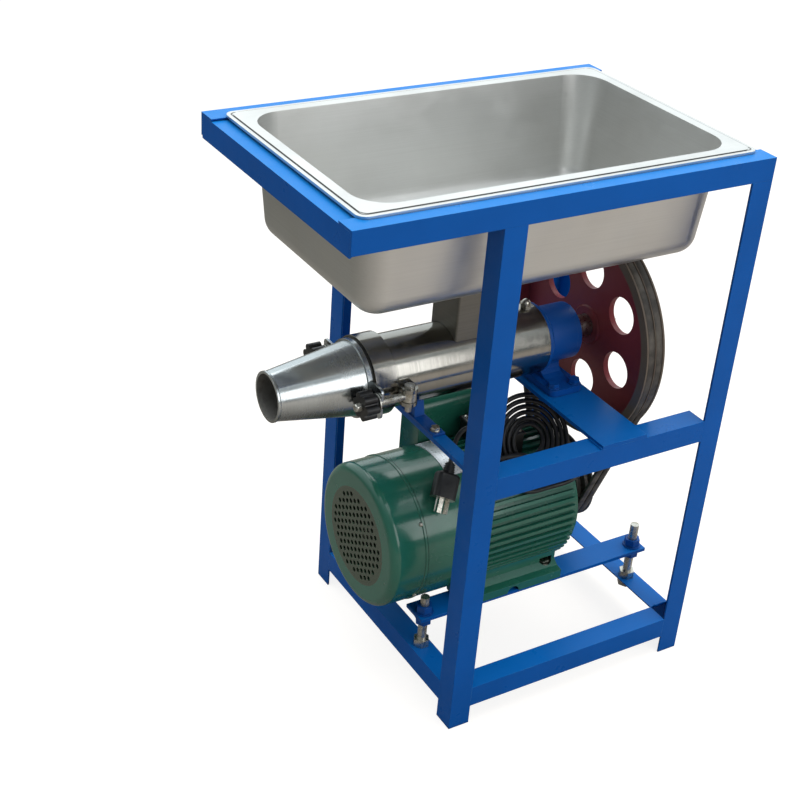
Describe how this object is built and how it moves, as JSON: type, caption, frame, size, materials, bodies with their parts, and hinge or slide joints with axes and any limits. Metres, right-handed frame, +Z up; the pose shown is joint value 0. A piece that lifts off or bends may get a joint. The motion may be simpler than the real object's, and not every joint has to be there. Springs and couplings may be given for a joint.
{
  "type": "rice cake popping machine",
  "caption": "Motor- and belt-driven screw machine on an angle-steel frame that pops rice from a pan hopper into a rod at a conical nozzle.",
  "frame": {"origin": "on the floor under the middle of the frame", "axes": "+X from the nozzle to the back, +Y from the near side to the far side, +Z up"},
  "size_m": [0.56, 0.362, 0.732],
  "materials": {
    "blue_paint": "brushed-on blue enamel",
    "blue_casting": "blue enamel on a casting",
    "stainless_sheet": "satin stainless sheet",
    "polished_steel": "turned and polished",
    "black_rubber": "matt black rubber",
    "plated_steel": "zinc-plated",
    "black_plastic": "moulded black",
    "machined_steel": "machined",
    "maroon_iron": "dark red paint on cast iron, turned rim",
    "grey_iron": "turned cast iron",
    "green_aluminium": "green enamel on an aluminium casting",
    "green_steel": "green enamel on sheet steel",
    "fan_plastic": "moulded",
    "bare_plate": "bare bright sheet"
  },
  "bodies": {
    "root": {"barrel": "polished_steel", "barrel_flange": "polished_steel", "barrel_saddle": "blue_paint", "barrel_set_bolt": "plated_steel", "base_rail_far": "blue_paint", "base_rail_front": "blue_paint", "base_rail_near": "blue_paint", "base_rail_rear": "blue_paint", "bearing_housing": "blue_casting", "frame_bolts": "plated_steel", "front_cross_bar": "blue_paint", "hopper_neck": "polished_steel", "hopper_pan": "stainless_sheet", "housing_cover": "blue_casting", "leg_front_far": "blue_paint", "leg_front_near": "blue_paint", "leg_rear_far": "blue_paint", "leg_rear_near": "blue_paint", "mid_rail_far": "blue_paint", "mid_rail_near": "blue_paint", "nozzle_cone": "polished_steel", "nozzle_gasket": "black_rubber", "pivot_pins": "plated_steel", "rear_cross_bar": "blue_paint", "shaft_bearings": "machined_steel", "shaft_seal": "black_rubber", "tension_studs": "plated_steel", "top_rail_far": "blue_paint", "top_rail_front": "blue_paint", "top_rail_near": "blue_paint", "top_rail_rear": "blue_paint", "v_belts": "black_rubber"},
    "screw": {"auger": "machined_steel", "main_shaft": "machined_steel", "big_pulley": "maroon_iron"},
    "motor_carriage": {"motor_frame": "green_aluminium", "motor_stator": "machined_steel", "motor_shields": "green_aluminium", "motor_bearings": "machined_steel", "fan_cover": "green_steel", "capacitor_cover": "green_steel", "nameplate": "bare_plate", "terminal_box": "black_plastic", "cable_gland": "black_plastic", "cable_ends": "black_plastic", "cable_coil": "black_plastic", "mains_plug": "black_plastic", "motor_bars": "plated_steel", "motor_bolts": "plated_steel", "adjusting_nuts": "plated_steel"},
    "motor_rotor": {"motor_shaft": "machined_steel", "motor_rotor": "machined_steel", "motor_pulley": "grey_iron", "cooling_fan": "fan_plastic"},
    "bolt_near": {"swing_bolt_near": "plated_steel"},
    "washer_near": {"clamp_washer_near": "plated_steel"},
    "knob_near": {"star_knob_near": "black_plastic"},
    "bolt_far": {"swing_bolt_far": "plated_steel"},
    "washer_far": {"clamp_washer_far": "plated_steel"},
    "knob_far": {"star_knob_far": "black_plastic"}
  },
  "joints": [
    {"name": "screw_spin", "type": "hinge", "parent": "root", "child": "screw", "pos_m": [0.18, 0, 0.442], "axis": [1, 0, 0], "continuous": true},
    {"name": "belt_tension", "type": "slide", "parent": "root", "child": "motor_carriage", "axis": [0, 0, 1], "range_m": [0, 0.006], "deforming": ["v_belts"]},
    {"name": "motor_spin", "type": "hinge", "parent": "motor_carriage", "child": "motor_rotor", "pos_m": [0.1, 0, 0.202], "axis": [1, 0, 0], "continuous": true},
    {"name": "swing_near", "type": "hinge", "parent": "root", "child": "bolt_near", "pos_m": [-0.122, -0.064, 0.442], "axis": [0, 0, 1], "range_deg": [0, 100]},
    {"name": "back_off_near", "type": "slide", "parent": "bolt_near", "child": "washer_near", "axis": [-1, 0, 0], "range_m": [0, 0.009]},
    {"name": "knob_turn_near", "type": "hinge", "parent": "washer_near", "child": "knob_near", "pos_m": [-0.18, -0.064, 0.442], "axis": [-1, 0, 0], "range_deg": [0, 2160]},
    {"name": "swing_far", "type": "hinge", "parent": "root", "child": "bolt_far", "pos_m": [-0.122, 0.064, 0.442], "axis": [0, 0, 1], "range_deg": [-100, 0]},
    {"name": "back_off_far", "type": "slide", "parent": "bolt_far", "child": "washer_far", "axis": [-1, 0, 0], "range_m": [0, 0.009]},
    {"name": "knob_turn_far", "type": "hinge", "parent": "washer_far", "child": "knob_far", "pos_m": [-0.18, 0.064, 0.442], "axis": [-1, 0, 0], "range_deg": [0, 2160]}
  ],
  "couplings": [
    {"joint": "motor_spin", "follows": "screw_spin", "ratio": 2.7476},
    {"joint": "back_off_near", "follows": "knob_turn_near", "m_per_rad": 0.00023873},
    {"joint": "back_off_far", "follows": "knob_turn_far", "m_per_rad": 0.00023873}
  ]
}
